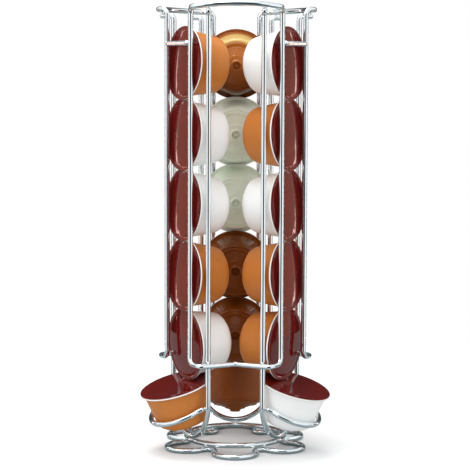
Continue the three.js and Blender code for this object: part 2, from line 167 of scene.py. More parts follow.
# %% [markdown]
# ## The finishes
# Chrome plating is a mirror, so nearly all of its look is what it reflects. Its nodes only add the
# faint unevenness of plated wire: a roughness that drifts, and a ripple too small to see by itself.

# %% A material's nodes
NOISE_LOW = 0.3
NOISE_HIGH = 0.7
BUMP_DETAIL = 2


def new_material(name):
    """An empty node material with its main shader."""
    material = bpy.data.materials.new(name)
    material.use_nodes = True
    tree = material.node_tree
    return material, tree.nodes, tree.links, tree.nodes["Principled BSDF"]


def add_noise(nodes, links, low, high, scale, detail):
    """Noise on the piece's own coordinates, with its usual range stretched to run from low to high."""
    coordinates = nodes.new("ShaderNodeTexCoord")
    noise = nodes.new("ShaderNodeTexNoise")
    noise.inputs["Scale"].default_value = scale
    noise.inputs["Detail"].default_value = detail
    spread = nodes.new("ShaderNodeMapRange")
    spread.inputs["From Min"].default_value = NOISE_LOW
    spread.inputs["From Max"].default_value = NOISE_HIGH
    spread.inputs["To Min"].default_value = low
    spread.inputs["To Max"].default_value = high
    links.new(coordinates.outputs["Object"], noise.inputs["Vector"])
    links.new(noise.outputs["Fac"], spread.inputs["Value"])
    return spread.outputs["Result"]


def mixed(nodes, links, factor, first, second):
    """Two colours, sockets or plain, mixed by a factor."""
    mix = nodes.new("ShaderNodeMix")
    mix.data_type = "RGBA"
    links.new(factor, mix.inputs["Factor"])
    for name, value in (("A", first), ("B", second)):
        if isinstance(value, bpy.types.NodeSocket):
            links.new(value, mix.inputs[name])
        else:
            mix.inputs[name].default_value = (*value, 1)
    return mix.outputs["Result"]


def drift_colour(nodes, links, shader, colours, scale, detail):
    """The base colour wanders between two colours with noise."""
    drift = add_noise(nodes, links, 0, 1, scale, detail)
    links.new(mixed(nodes, links, drift, *colours), shader.inputs["Base Color"])


def drift_polish(nodes, links, shader, smoothest, roughest, scale, detail):
    """The roughness wanders between two values with noise."""
    polish = add_noise(nodes, links, smoothest, roughest, scale, detail)
    links.new(polish, shader.inputs["Roughness"])


def add_bump(nodes, links, shader, strength, relief, scale):
    """Bump from noise, with its relief in metres."""
    bump = nodes.new("ShaderNodeBump")
    bump.inputs["Strength"].default_value = strength
    bump.inputs["Distance"].default_value = relief
    height = add_noise(nodes, links, 0, 1, scale, BUMP_DETAIL)
    links.new(height, bump.inputs["Height"])
    links.new(bump.outputs["Normal"], shader.inputs["Normal"])


# %% Chrome
CHROME_COLOURS = ((0.84, 0.88, 0.90), (0.93, 0.96, 0.97))


def chrome_finish(name, smoothest, roughest):
    """Plated wire: a mirror with a slightly uneven polish."""
    material, nodes, links, shader = new_material(name)
    shader.inputs["Metallic"].default_value = 1
    drift_colour(nodes, links, shader, CHROME_COLOURS, scale=60, detail=2)
    drift_polish(nodes, links, shader, smoothest, roughest, scale=240, detail=3)
    add_bump(nodes, links, shader, strength=0.05, relief=0.03 * MM, scale=300)
    return material


chrome = chrome_finish("chrome_plating", smoothest=0.05, roughest=0.08)
weld_chrome = chrome_finish("chrome_over_weld", smoothest=0.12, roughest=0.26)

# %% [markdown]
# The lids are aluminium foil under a dark red lacquer. The lacquer is what one sees: deep in colour
# where it mirrors nothing, and glossy enough to show the edges of a lamp. The foil is never quite
# flat, so its nodes have broad soft dents, which make those edges waver.

# %% Lacquered foil
LACQUER_COLOURS = ((0.095, 0.003, 0.002), (0.14, 0.006, 0.004))
LACQUER_IOR = 1.52
LACQUER_TINT = (1, 0.8, 0.7, 1)


def foil_finish():
    """Dark red lacquer: a deep colour under a glossy skin, with soft dents."""
    material, nodes, links, shader = new_material("red_lacquered_foil")
    drift_colour(nodes, links, shader, LACQUER_COLOURS, scale=45, detail=3)
    drift_polish(nodes, links, shader, smoothest=0.02, roughest=0.05, scale=180, detail=3)
    shader.inputs["IOR"].default_value = LACQUER_IOR
    shader.inputs["Specular Tint"].default_value = LACQUER_TINT
    add_bump(nodes, links, shader, strength=0.2, relief=0.07 * MM, scale=90)
    return material


foil = foil_finish()

# %% [markdown]
# The cups are injection moulded. Thin moulded plastic has a satin skin with the faintest grain, and
# its colour drifts a little. The rear column's brown cups are glossier. Its served cup is the same
# brown plastic, painted paler to stand for the light that reaches it. The cup at its top has painted
# light and shade in rings: its colour is read off a scale by the height of the ring, lighter high up,
# where light falls from above, with a painted highlight band, and dark low down.

# %% Moulded plastic
CUP_COLOURS = {
    "white": ((0.92, 0.93, 0.92), (0.94, 0.95, 0.94)),
    "cream": ((0.65, 0.70, 0.57), (0.73, 0.78, 0.65)),
    "orange": ((0.51, 0.165, 0.03), (0.58, 0.20, 0.04)),
    "brown": ((0.155, 0.037, 0.004), (0.22, 0.057, 0.006)),
    # Brown plastic painted paler: painted light on the served rear cup.
    "brown_painted_lit": ((0.22, 0.052, 0.007), (0.31, 0.08, 0.012)),
}
# The top rear cup: its colour is painted light and shade by height.
PAINTED_LIGHT_CUP = "caramel"
# The paler served brown is the brown plastic with painted light, so it keeps the brown slot.
SLOT_COLOURS = {"brown_painted_lit": "brown"}
GLOSSY_CUPS = (PAINTED_LIGHT_CUP, "brown")
GLOSSY_POLISH = 0.08
SATIN_POLISH = 0.34
POLISH_DRIFT = 0.08
PLASTIC_SHINE = 0.25
PLASTIC_DEPTH = 0.08
PLASTIC_DEPTH_BY_COLOUR = (1, 0.9, 0.8)
# Painted light and shade by height for the top rear cup: a pale painted highlight band high up, dark
# low down.
PAINTED_LIGHT_AXIS = 288.8 * MM
PAINTED_LIGHT_STRETCH = 1.6
PAINTED_LIGHT_LOW = 262 * MM
PAINTED_LIGHT_HIGH = 320 * MM
PAINTED_LIGHT_STOPS = [
    (265 * MM, (0.1, 0.02, 0.002)),
    (298 * MM, (0.45, 0.15, 0.03)),
    (304.5 * MM, (0.35, 0.1, 0.015)),
    (306 * MM, (0.6, 0.4, 0.14)),
    (310.5 * MM, (0.6, 0.4, 0.14)),
    (312.5 * MM, (0.27, 0.075, 0.015)),
]


def add_ramp(nodes, links, value, stops):
    """A colour read off a list of (place from 0 to 1, colour) stops, in rising order."""
    ramp = nodes.new("ShaderNodeValToRGB")
    elements = ramp.color_ramp.elements
    while len(elements) < len(stops):
        elements.new(1)
    for element, (spot, colour) in zip(elements, stops):
        element.position = spot
        element.color = (*colour, 1)
    links.new(value, ramp.inputs["Fac"])
    return ramp.outputs["Color"]


def add_math(nodes, links, operation, first, second=None):
    """One step of arithmetic on sockets or plain numbers."""
    step = nodes.new("ShaderNodeMath")
    step.operation = operation
    for socket, value in zip(step.inputs, (first, second)):
        if isinstance(value, bpy.types.NodeSocket):
            links.new(value, socket)
        elif value is not None:
            socket.default_value = value
    return step.outputs["Value"]


def add_painted_light(nodes, links):
    """Painted light and shade: a colour read off a scale of stops, lighter high up and dark low down,
    as for a cup lit from above.

    With r the distance from the cup's axis and a its angle above the level, the place on the scale is
    the height of the axis + r * stretch * sin a. It is held between -r and r, which makes rings.
    """
    parts = nodes.new("ShaderNodeSeparateXYZ")
    links.new(nodes.new("ShaderNodeTexCoord").outputs["Object"], parts.inputs["Vector"])
    across, _, height = parts.outputs
    rise = add_math(nodes, links, "SUBTRACT", height, PAINTED_LIGHT_AXIS)
    squares = [add_math(nodes, links, "MULTIPLY", side, side) for side in (across, rise)]
    reach = add_math(nodes, links, "SQRT", add_math(nodes, links, "ADD", *squares))
    scaled = add_math(nodes, links, "MULTIPLY", rise, PAINTED_LIGHT_STRETCH)
    scaled = add_math(nodes, links, "MINIMUM", scaled, reach)
    scaled = add_math(nodes, links, "MAXIMUM", scaled, add_math(nodes, links, "MULTIPLY", reach, -1))
    share = nodes.new("ShaderNodeMapRange")
    share.inputs["From Min"].default_value = PAINTED_LIGHT_LOW - PAINTED_LIGHT_AXIS
    share.inputs["From Max"].default_value = PAINTED_LIGHT_HIGH - PAINTED_LIGHT_AXIS
    links.new(scaled, share.inputs["Value"])
    span = PAINTED_LIGHT_HIGH - PAINTED_LIGHT_LOW
    stops = [((height - PAINTED_LIGHT_LOW) / span, colour) for height, colour in PAINTED_LIGHT_STOPS]
    return add_ramp(nodes, links, share.outputs["Result"], stops)


def plastic_finish(colour):
    """Moulded plastic whose colour and polish drift a little, or whose colour is painted light and
    shade in rings.
    """
    material, nodes, links, shader = new_material(f"{colour}_moulded_plastic")
    # The top rear cup's colour is painted light and shade, read off by height.
    if colour == PAINTED_LIGHT_CUP:
        links.new(add_painted_light(nodes, links), shader.inputs["Base Color"])
    else:
        drift_colour(nodes, links, shader, CUP_COLOURS[colour], scale=35, detail=3)
    smoothest = GLOSSY_POLISH if colour in GLOSSY_CUPS else SATIN_POLISH
    drift_polish(nodes, links, shader, smoothest, smoothest + POLISH_DRIFT, scale=160, detail=2)
    shader.inputs["Specular IOR Level"].default_value = PLASTIC_SHINE
    shader.inputs["Subsurface Weight"].default_value = PLASTIC_DEPTH
    shader.inputs["Subsurface Radius"].default_value = PLASTIC_DEPTH_BY_COLOUR
    shader.inputs["Subsurface Scale"].default_value = 1 * MM
    add_bump(nodes, links, shader, strength=0.1, relief=0.01 * MM, scale=900)
    return material


plastics = {colour: plastic_finish(colour) for colour in (*CUP_COLOURS, PAINTED_LIGHT_CUP)}

# %% Seal film
SEAL_COLOURS = ((0.92, 0.91, 0.89), (0.96, 0.95, 0.94))


def seal_finish():
    """The pale edge where the lid's film is welded to the rim."""
    material, nodes, links, shader = new_material("pale_seal_film")
    drift_colour(nodes, links, shader, SEAL_COLOURS, scale=90, detail=2)
    drift_polish(nodes, links, shader, smoothest=0.28, roughest=0.4, scale=300, detail=2)
    return material


seal_film = seal_finish()
print("materials:", len(bpy.data.materials))

# %% [markdown]
# ## How a wire is bent
# A wire rack is bent from drawn rod: straight runs joined by arcs. So a wire's centre line is a list
# of corners with a bend radius at each. Every corner is replaced by the arc that touches both runs.

# %% Centre lines
WIRE_RADIUS = 2 * MM
BEND_POINTS = 14


def arc(centre, across, along, radius, start, end, count):
    """Points at centre + radius (cos angle * across + sin angle * along), both ends included."""
    angle = np.linspace(start, end, count)[:, None]
    return centre + radius * (np.cos(angle) * across + np.sin(angle) * along)


def unit(vectors):
    """Vectors scaled to length one."""
    return vectors / np.linalg.norm(vectors, axis=-1, keepdims=True)


def rounded_corner(before, corner, after, radius):
    """The arc of a bend: it leaves both runs at radius * tan(half the turn) from the corner."""
    arriving = unit(corner - before)
    leaving = unit(after - corner)
    turn = math.acos(float(np.clip(arriving @ leaving, -1, 1)))
    start = corner - arriving * radius * math.tan(turn / 2)
    inward = unit(leaving - arriving * (leaving @ arriving))
    return arc(start + inward * radius, -inward, arriving, radius, 0, turn, BEND_POINTS)


def bent_line(corners):
    """A centre line from (point, bend radius) pairs. A radius of zero keeps the point as it is."""
    points = []
    for index, (corner, radius) in enumerate(corners):
        if radius == 0:
            points.append(corner[None, :])
            continue
        before = corners[index - 1][0]
        after = corners[(index + 1) % len(corners)][0]
        points.append(rounded_corner(before, corner, after, radius))
    return np.concatenate(points)


# %% [markdown]
# ## A round section along a line
# At each point of the line the section needs two directions square to the line. One comes from a
# reference that is never parallel to the wire: the upright for wires that lie flat, or the direction
# towards the middle of the loop for wires that stand. A sheared end gets a small rounded edge.

# %% Sweeping the wire
WIRE_SIDES = 28
END_ROUND = 1.6 * MM
END_POINTS = 8


def wire_tangents(line, closed):
    """Half way between the directions of the runs before and after each point."""
    if closed:
        steps = unit(np.roll(line, -1, axis=0) - line)
        return unit(steps + np.roll(steps, 1, axis=0))
    steps = unit(np.diff(line, axis=0))
    arriving = np.concatenate([steps[:1], steps])
    leaving = np.concatenate([steps, steps[-1:]])
    return unit(arriving + leaving)


def sweep_wire(name, line, reference, closed):
    """point + radius (cos turn * side + sin turn * lift), with side and lift square to the wire."""
    tangents = wire_tangents(line, closed)
    side = unit(reference - tangents * np.sum(reference * tangents, axis=1, keepdims=True))
    lift = np.cross(tangents, side)
    radius = np.full(len(line), WIRE_RADIUS)
    if not closed:
        quarter = np.linspace(0, math.pi / 2, END_POINTS)
        shrink = WIRE_RADIUS - END_ROUND * (1 - np.cos(quarter))
        advance = END_ROUND * (np.sin(quarter) - 1)
        first = line[0] - tangents[0] * advance[::-1, None]
        last = line[-1] + tangents[-1] * advance[:, None]
        line = np.concatenate([first, line[1:-1], last])
        radius = np.concatenate([shrink[::-1], radius[1:-1], shrink])
        repeats = np.ones(len(side), int)
        repeats[[0, -1]] = END_POINTS
        side = np.repeat(side, repeats, axis=0)
        lift = np.repeat(lift, repeats, axis=0)
    turn = np.linspace(0, 2 * math.pi, WIRE_SIDES, endpoint=False)[None, :, None]
    ring = np.cos(turn) * side[:, None, :] + np.sin(turn) * lift[:, None, :]
    return surface(name, line[:, None, :] + radius[:, None, None] * ring, closed)


wire_lines = {}


def add_wire(name, line, reference, closed):
    """Makes a wire in the frame, in chrome, standing for the solid of the same name."""
    wire_lines[name] = in_frame(line)
    piece = sweep_wire(f"{name}_wire", in_frame(line), reference, closed)
    settle(piece, "stand", "chrome_wire", chrome, name)


# %% [markdown]
# ## The base
# The rosette on the table is one closed wire. Its centre line is made of two arcs only: round lobes,
# and tight cusps that turn the other way. A cusp touches both lobes beside it, which fixes how large
# the lobes are, and where one arc hands over to the next. A plain ring lies on the cusps.

# %% Rosette and ring
LOBE_COUNT = 6
LOBE_CENTRE_RADIAL = 41 * MM
CUSP_REACH = 5.4 * MM
CUSP_RADIUS = 5.6 * MM
RING_RADIUS = 37 * MM
WELD_GAP = 0.4 * MM
WELD_PITCH = 2 * WIRE_RADIUS + WELD_GAP
RING_HEIGHT = WIRE_RADIUS + WELD_PITCH
LOBE_POINTS = 40
CUSP_POINTS = 16
RING_POINTS = 145
UPRIGHT = np.array([0, 0, 1.0])

HALF_LOBE_PITCH = math.pi / LOBE_COUNT
LOBE_ASIDE = LOBE_CENTRE_RADIAL * math.sin(HALF_LOBE_PITCH)
LOBE_RADIUS = math.hypot(LOBE_ASIDE, CUSP_REACH) - CUSP_RADIUS
CUSP_CENTRE_RADIAL = LOBE_CENTRE_RADIAL * math.cos(HALF_LOBE_PITCH) + CUSP_REACH


def rosette_line():
    """Lobes and cusps in turn. Both arcs end on the line that joins their centres."""
    cusp_along = CUSP_CENTRE_RADIAL * math.cos(HALF_LOBE_PITCH) - LOBE_CENTRE_RADIAL
    cusp_aside = CUSP_CENTRE_RADIAL * math.sin(HALF_LOBE_PITCH)
    lobe_span = math.atan2(cusp_aside, cusp_along)
    cusp_span = lobe_span - HALF_LOBE_PITCH
    arcs = []
    for lobe in range(LOBE_COUNT):
        angle = 2 * lobe * HALF_LOBE_PITCH
        centre = outward(angle) * LOBE_CENTRE_RADIAL + UPRIGHT * WIRE_RADIUS
        side = outward(angle + math.pi / 2)
        lobe_line = arc(centre, outward(angle), side, LOBE_RADIUS, -lobe_span, lobe_span, LOBE_POINTS)
        inward = outward(angle + HALF_LOBE_PITCH + math.pi)
        back = outward(angle + HALF_LOBE_PITCH - math.pi / 2)
        cusp = UPRIGHT * WIRE_RADIUS - inward * CUSP_CENTRE_RADIAL
        cusp_line = arc(cusp, inward, back, CUSP_RADIUS, cusp_span, -cusp_span, CUSP_POINTS)
        arcs += [lobe_line[:-1], cusp_line[:-1]]
    return np.concatenate(arcs)


def ring_line():
    """A circle round the axis, one wire above the rosette."""
    centre = UPRIGHT * RING_HEIGHT
    return arc(centre, outward(0), outward(math.pi / 2), RING_RADIUS, 0, 2 * math.pi, RING_POINTS)[:-1]


add_wire("base_rosette", rosette_line(), UPRIGHT, True)
add_wire("base_ring", ring_line(), UPRIGHT, True)
print("rosette reaches", LOBE_CENTRE_RADIAL + LOBE_RADIUS + WIRE_RADIUS)

# %% [markdown]
# ## What the capsules decide
# A rack is designed round what it holds. The capsule's rim and shoulder set the pitch of the stack,
# its shoulder sets the legs, and its lid sets the uprights in front of it. The served capsule's
# nozzle hangs above the ring, and the lowest of the stack stands on the served one's dented lid.

# %% A capsule's sizes
SHOULDER_RADIUS = 24.7 * MM
RIM_RADIUS = 27.1 * MM
RIM_THICKNESS = 1.1 * MM
FOOT_RADIUS = 21.4 * MM
FOOT_ROUND = 6.5 * MM
CUP_DEPTH = 28 * MM
NOZZLE_RADIUS = 4.6 * MM
NOZZLE_DEPTH = 34.8 * MM
LID_LOW = 0.25 * MM
LID_THICKNESS = 0.35 * MM
LID_TOP = LID_LOW + LID_THICKNESS
LID_DOME = 1 * MM
LID_DENT = 0.7 * MM
DENT_RADIUS = 22.7 * MM

# %% Where the capsules stand
SEAT_GAP = 0.3 * MM
STACK_COUNT = 5
STACK_PITCH = RIM_RADIUS + SHOULDER_RADIUS + SEAT_GAP
STACK_RADIAL = 44.6 * MM
STACK_TIP = math.radians(2.9)
LOWEST_SETBACK = 2.1 * MM
LOWEST_TIP = math.radians(-2)
SERVED_RADIAL = 51.4 * MM
SERVED_TIP = math.radians(73)
NOZZLE_CLEARANCE = 6.4 * MM
SOLID_WIRE_SIDES = 8
WIRE_CORNER_RADIUS = WIRE_RADIUS / math.cos(math.pi / SOLID_WIRE_SIDES)


def served_height():
    """The ring's top + a clearance + how far the tipped nozzle reaches below the rim's centre."""
    drop = NOZZLE_DEPTH * math.sin(SERVED_TIP) + NOZZLE_RADIUS * math.cos(SERVED_TIP)
    return RING_HEIGHT + WIRE_CORNER_RADIUS + NOZZLE_CLEARANCE + drop


def lowest_height(served):
    """The served capsule's height + the climb along its lid to where the rim's back edge stands."""
    heel = RIM_RADIUS * math.sin(LOWEST_TIP) - RIM_THICKNESS * math.cos(LOWEST_TIP)
    inwards = SERVED_RADIAL - STACK_RADIAL + LOWEST_SETBACK - heel
    share = inwards / math.sin(SERVED_TIP) / DENT_RADIUS
    level = LID_TOP - LID_DENT * (1 - share**2)
    climb = inwards / math.tan(SERVED_TIP) + level / math.sin(SERVED_TIP)
    return served + climb + SEAT_GAP + RIM_RADIUS * math.cos(LOWEST_TIP)


SERVED_HEIGHT = served_height()
LOWEST_HEIGHT = lowest_height(SERVED_HEIGHT)
HIGHEST_HEIGHT = LOWEST_HEIGHT + (STACK_COUNT - 1) * STACK_PITCH
print("served capsule at", SERVED_HEIGHT, "stack from", LOWEST_HEIGHT, "to", HIGHEST_HEIGHT)

# %% Where the legs and the uprights stand
HALF_PITCH = COLUMN_PITCH / 2
CROSSING_PITCH = 2 * WIRE_CORNER_RADIUS + WELD_GAP
SHOULDER_CLEARANCE = 0.3 * MM
HAIRPIN_RADIAL = 38.7 * MM
HAIRPIN_HALF_WIDTH = SHOULDER_RADIUS + SHOULDER_CLEARANCE + WIRE_RADIUS
LID_CLEARANCE = 0.45 * MM
UPRIGHT_OVERLAP = 9.03 * MM
UPRIGHT_RADIAL = STACK_RADIAL + LID_TOP + LID_DOME + LID_CLEARANCE + WIRE_CORNER_RADIUS
UPRIGHT_ASIDE = RIM_RADIUS - UPRIGHT_OVERLAP


def seen_from_panel(radial, aside):
    """(radial cos + aside sin, radial sin - aside cos) of the half pitch from a column to a panel."""
    out = radial * math.cos(HALF_PITCH) + aside * math.sin(HALF_PITCH)
    return out, radial * math.sin(HALF_PITCH) - aside * math.cos(HALF_PITCH)


PANEL_RADIAL, PANEL_HALF_WIDTH = seen_from_panel(UPRIGHT_RADIAL, UPRIGHT_ASIDE)
LEG_RADIAL, LEG_ASIDE = seen_from_panel(HAIRPIN_RADIAL, HAIRPIN_HALF_WIDTH)

# %% [markdown]
# ## The panels
# A panel loop looks like a window frame. Its two uprights keep the capsules of the columns beside it
# in their channels. The top bows outward as a parabola and guides a capsule in, and the bottom rail
# kinks inward to meet the hairpins' legs.

# %% Panel loops
PANEL_TOP_HEIGHT = HIGHEST_HEIGHT + 40 * MM
RAIL_HEIGHT = SERVED_HEIGHT + 18.2 * MM
BOW_END_RADIAL = PANEL_RADIAL + 9.44 * MM
BOW_END_HALF_WIDTH = PANEL_HALF_WIDTH - 1.74 * MM
BOW_DEPTH = 5 * MM
BOW_RISES = {"front": 2.4 * MM, "right_rear": 0.4 * MM, "left_rear": 0.4 * MM}
TOP_BEND = 5 * MM
LEG_BEND = 3 * MM
BOW_BEND = 5.5 * MM
RAIL_KINK = math.radians(28.64)
RAIL_KINK_RADIAL = LEG_RADIAL + CROSSING_PITCH / math.cos(RAIL_KINK) - LEG_ASIDE * math.tan(RAIL_KINK)
RAIL_END_HALF_WIDTH = PANEL_HALF_WIDTH - 7.24 * MM
RAIL_END_RADIAL = RAIL_KINK_RADIAL + RAIL_END_HALF_WIDTH * math.tan(RAIL_KINK)
RAIL_BEND = 6 * MM
KINK_BEND = 4 * MM
BOW_POINTS = 33
BOW_STRAIGHTENS = 0.86


def bow_point(share, rise):
    """The bow stands out and up by 1 - share^2, with the share from -1 at one end to 1 at the other."""
    fullness = 1 - share * share
    radial = BOW_END_RADIAL + BOW_DEPTH * fullness
    return place(radial, share * BOW_END_HALF_WIDTH, PANEL_TOP_HEIGHT + rise * fullness)


def panel_line(rise):
    """Up one side, along the bow, down the other side and back along the kinked rail."""
    shares = np.linspace(-BOW_STRAIGHTENS, BOW_STRAIGHTENS, BOW_POINTS)
    corners = [
        (place(PANEL_RADIAL, -PANEL_HALF_WIDTH, RAIL_HEIGHT), RAIL_BEND),
        (place(PANEL_RADIAL, -PANEL_HALF_WIDTH, PANEL_TOP_HEIGHT), TOP_BEND),
        (bow_point(-1, rise), BOW_BEND),
        *((bow_point(share, rise), 0) for share in shares),
        (bow_point(1, rise), BOW_BEND),
        (place(PANEL_RADIAL, PANEL_HALF_WIDTH, PANEL_TOP_HEIGHT), TOP_BEND),
        (place(PANEL_RADIAL, PANEL_HALF_WIDTH, RAIL_HEIGHT), RAIL_BEND),
        (place(RAIL_END_RADIAL, RAIL_END_HALF_WIDTH, RAIL_HEIGHT), KINK_BEND),
        (place(RAIL_KINK_RADIAL, 0, RAIL_HEIGHT), KINK_BEND),
        (place(RAIL_END_RADIAL, -RAIL_END_HALF_WIDTH, RAIL_HEIGHT), KINK_BEND),
    ]
    return bent_line(corners)


def towards(point, line):
    """Directions from each point of a line to one point."""
    return point - line


panel_middle = place(PANEL_RADIAL, 0, (PANEL_TOP_HEIGHT + RAIL_HEIGHT) / 2)
for panel_name, degrees in PANELS.items():
    panel = panel_line(BOW_RISES[panel_name])
    reference = turned(towards(panel_middle, panel), degrees)
    add_wire(f"{panel_name}_panel_loop", turned(panel, degrees), reference, True)
print("a panel's centre line has", len(panel), "points")

# %% [markdown]
# ## The hairpins, cradles and straps
# A hairpin is the spine of a column: a round bend standing on the ring, and two legs that pass the
# capsules on both sides and lean out at the top to meet the bows. A cradle is a half ring a little
# wider than the tipped capsule, leaning forward, with arms back to the legs. A strap ties two panels.

# %% Hairpins
HALF_CIRCLE_POINTS = 60
BESIDE = {
    "left": ("left_rear", "front"),
    "right": ("front", "right_rear"),
    "rear": ("right_rear", "left_rear"),
}
SIDEWAYS = np.array([1.0, 0, 0])


def leg_end(sign, rise):
    """A leg's top and its tip, which lies under the bow and is flush with the outside of it."""
    carried = bow_point(LEG_ASIDE / BOW_END_HALF_WIDTH, rise)
    top = place(HAIRPIN_RADIAL, sign * HAIRPIN_HALF_WIDTH, carried[2] - CROSSING_PITCH)
    return top, top + outward(sign * HALF_PITCH) * (WIRE_RADIUS - carried[1] - LEG_RADIAL)


def hairpin_line(rises):
    """A tip under each bow, straight legs, and a half circle at the foot."""
    lowest = RING_HEIGHT + math.sqrt(WELD_PITCH**2 - (HAIRPIN_RADIAL - RING_RADIUS) ** 2)
    centre = place(HAIRPIN_RADIAL, 0, lowest + HAIRPIN_HALF_WIDTH)
    foot = arc(centre, -SIDEWAYS, -UPRIGHT, HAIRPIN_HALF_WIDTH, 0, math.pi, HALF_CIRCLE_POINTS)
    first_top, first_tip = leg_end(-1, rises[0])
    second_top, second_tip = leg_end(1, rises[1])
    legs = [(first_top, LEG_BEND), *((point, 0) for point in foot), (second_top, LEG_BEND)]
    return bent_line([(first_tip, 0), *legs, (second_tip, 0)])


hairpin_middle = place(HAIRPIN_RADIAL, 0, PANEL_TOP_HEIGHT / 2)

# %% Cradles
CRADLE_DEPTH = 17 * MM
CRADLE_LEAN = math.radians(27)


def cup_wall_radius(depth):
    """The cup's wall tapers evenly from its shoulder to where its foot begins to round."""
    share = (depth - RIM_THICKNESS) / (CUP_DEPTH - FOOT_ROUND - RIM_THICKNESS)
    return SHOULDER_RADIUS + (FOOT_RADIUS - SHOULDER_RADIUS) * share


def cradle_line():
    """A half circle in a plane that leans forward and down, and an arm from each end to a leg."""
    down = np.array([0, math.cos(SERVED_TIP), -math.sin(SERVED_TIP)])
    forward = np.array([0, -math.cos(CRADLE_LEAN), -math.sin(CRADLE_LEAN)])
    centre = place(SERVED_RADIAL, 0, SERVED_HEIGHT) + down * CRADLE_DEPTH
    radius = cup_wall_radius(CRADLE_DEPTH) + WIRE_CORNER_RADIUS + SEAT_GAP
    leg_front = HAIRPIN_RADIAL + WIRE_CORNER_RADIUS * (1 + math.sin(CRADLE_LEAN)) + WELD_GAP
    back = centre + forward * (-leg_front - centre[1]) / forward[1]
    half = arc(centre, -SIDEWAYS, forward, radius, 0, math.pi, HALF_CIRCLE_POINTS)
    ends = [back - SIDEWAYS * HAIRPIN_HALF_WIDTH, back + SIDEWAYS * HAIRPIN_HALF_WIDTH]
    return np.concatenate([ends[:1], half, ends[1:]]), np.cross(SIDEWAYS, forward)


cradle, cradle_normal = cradle_line()

# %% Straps
STRAP_HEIGHT = PANEL_TOP_HEIGHT - 25.8 * MM
STRAP_SETOUT = 0.8 * MM
STRAP_POINTS = 12


def strap_line():
    """A straight run between two uprights, a little outside the middle of them."""
    end = UPRIGHT_ASIDE - WIRE_CORNER_RADIUS - WELD_GAP
    run = np.linspace(-end, end, STRAP_POINTS)[:, None] * SIDEWAYS
    return place(UPRIGHT_RADIAL + STRAP_SETOUT, 0, STRAP_HEIGHT) + run


strap = strap_line()
for column, degrees in COLUMNS.items():
    hairpin = hairpin_line([BOW_RISES[panel_name] for panel_name in BESIDE[column]])
    reference = turned(towards(hairpin_middle, hairpin), degrees)
    add_wire(f"{column}_hairpin", turned(hairpin, degrees), reference, False)
    add_wire(f"{column}_cradle", turned(cradle, degrees), turned(cradle_normal, degrees), False)
    add_wire(f"{column}_top_strap", turned(strap, degrees), UPRIGHT, False)
print("wires:", len(wire_lines))

# %% [markdown]
# ## The welds
# Where two wires meet, the rack is spot welded before it is plated, which leaves a small neck of
# metal. A neck is a surface of revolution between the two centre lines: narrow in the middle, and
# wide enough at each end to vanish inside the wire. The nearest points of the two lines place it.

# %% Weld necks
NECK_RADIUS = 1.15 * MM
NECK_FLARE = 0.6 * MM
NECK_POINTS = 13
NECK_SIDES = 20
SEARCH_STEP = 0.4 * MM
SEARCH_ROUNDS = 4
ASKEW = np.array([0.3, 0.2, 1.0])


def dense(name):
    """A wire's centre line with a point about every search step."""
    line = wire_lines[name]
    if "loop" in name or "base" in name:
        line = np.concatenate([line, line[:1]])
    lengths = np.concatenate([[0], np.cumsum(np.linalg.norm(np.diff(line, axis=0), axis=1))])
    places = np.linspace(0, lengths[-1], int(lengths[-1] / SEARCH_STEP))
    return np.stack([np.interp(places, lengths, line[:, axis]) for axis in range(3)], axis=1)


def nearest(line, point):
    """The point of a line that is nearest to a place."""
    return line[np.argmin(np.linalg.norm(line - point, axis=1))]


def neck_grid(start, end):
    """Radius = neck + flare * share^2, with the share from -1 at one centre line to 1 at the other."""
    along = unit(end - start)
    side = unit(np.cross(along, ASKEW))
    lift = np.cross(along, side)
    share = np.linspace(-1, 1, NECK_POINTS)[:, None, None]
    turn = np.linspace(0, 2 * math.pi, NECK_SIDES, endpoint=False)[None, :, None]
    radius = NECK_RADIUS + NECK_FLARE * share**2
    middle = (start + end) / 2 + share * (end - start) / 2
    return middle + radius * (np.cos(turn) * side + np.sin(turn) * lift)


def add_weld(name, first, second, near):
    """A neck between the nearest points of two wires, close to a given place."""
    line_a = dense(first)
    line_b = dense(second)
    point_b = nearest(line_b, near)
    for _ in range(SEARCH_ROUNDS):
        point_a = nearest(line_a, point_b)
        point_b = nearest(line_b, point_a)
    piece = surface(name, neck_grid(point_a, point_b))
    settle(piece, "stand", "chrome_wire", weld_chrome)
    return np.linalg.norm(point_a - point_b)


spans = []
for cusp in range(LOBE_COUNT):
    spot = in_frame(outward((2 * cusp + 1) * HALF_LOBE_PITCH) * RING_RADIUS)
    spans.append(add_weld(f"base_weld_{cusp + 1}", "base_ring", "base_rosette", spot))

for column, degrees in COLUMNS.items():
    pin, strap_name, cradle_name = (f"{column}_{kind}" for kind in ("hairpin", "top_strap", "cradle"))
    foot = in_frame(turned(place(RING_RADIUS, 0, RING_HEIGHT), degrees))
    spans.append(add_weld(f"{column}_foot_weld", pin, "base_ring", foot))
    for hand, sign, end in (("first", -1, 0), ("second", 1, -1)):
        loop = f"{BESIDE[column][end]}_panel_loop"
        leg = turned(place(HAIRPIN_RADIAL, sign * HAIRPIN_HALF_WIDTH, RAIL_HEIGHT), degrees)
        meetings = {
            "rail": (pin, loop, in_frame(leg)),
            "tip": (pin, loop, wire_lines[pin][end]),
            "strap": (strap_name, loop, wire_lines[strap_name][end]),
            "cradle": (cradle_name, pin, wire_lines[cradle_name][end]),
        }
        for meeting, (first, second, near) in meetings.items():
            spans.append(add_weld(f"{column}_{meeting}_{hand}_weld", first, second, near))
print("welds:", len(spans), "span from", min(spans), "to", max(spans))

# %% [markdown]
# ## The capsules
# A capsule is turned about its own axis, so its shape is one profile. The profile is a row of corners
# with a fillet at each, because a moulded cup has no sharp edge anywhere: a rim, a tapering wall, a
# well-rounded foot, a raised step, a shallow cone with a low collar on it, and a nozzle with a pin
# in its hole.

# %% A profile with fillets
FILLET_POINTS = 7
CAPSULE_SIDES = 96
STEP_RADIUS = 17.1 * MM
STEP_DEPTH = 1.4 * MM
CONE_RADIUS = 14.3 * MM
CONE_DEPTH = 32.8 * MM
CUP_WALL = 1 * MM


